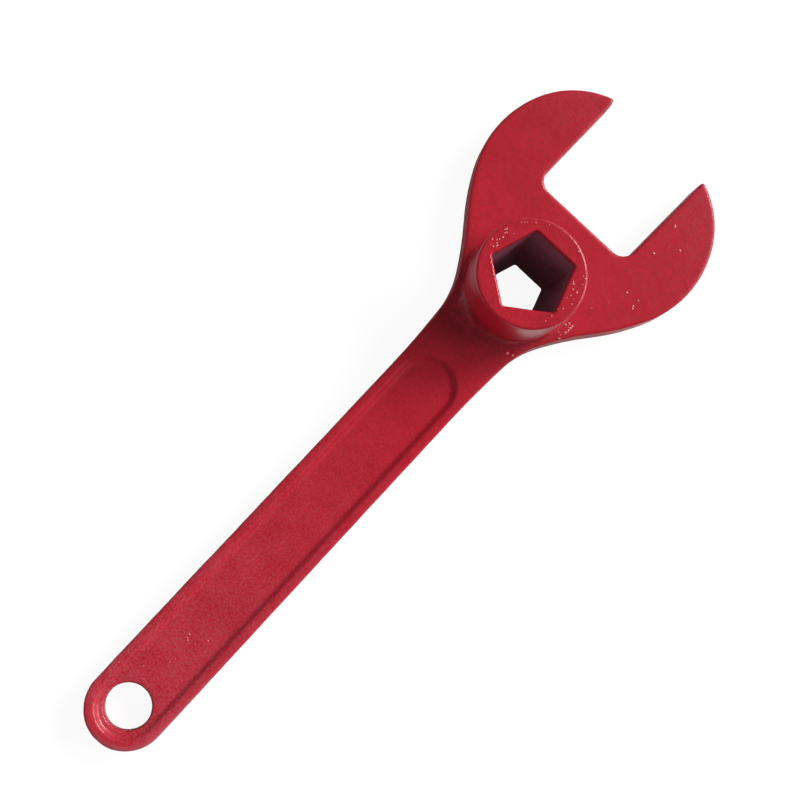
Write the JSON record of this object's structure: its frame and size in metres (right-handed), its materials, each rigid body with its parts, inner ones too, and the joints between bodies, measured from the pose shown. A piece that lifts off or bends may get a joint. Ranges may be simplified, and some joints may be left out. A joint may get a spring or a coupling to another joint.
{
  "type": "fire hydrant wrench",
  "caption": "Flat hand wrench with an open jaw, a tall pentagon socket through its head, and a pocketed handle with a hanging hole.",
  "frame": {"origin": "on the axis of the pentagon socket, in the plane of the flat back face", "axes": "+X along the handle towards the jaws, +Z out of the front face on the socket side, +Y across the head"},
  "size_m": [0.3703, 0.118, 0.0465],
  "materials": {
    "body_paint": "semi-gloss red paint over a cast surface",
    "socket_paint": "semi-gloss red paint, thin and dark inside the socket",
    "weld_paint": "semi-gloss red paint over a weld bead"
  },
  "bodies": {
    "root": {"wrench_body": "body_paint", "socket_sleeve": "socket_paint", "socket_weld_front": "weld_paint", "socket_weld_back": "weld_paint"}
  },
  "joints": []
}
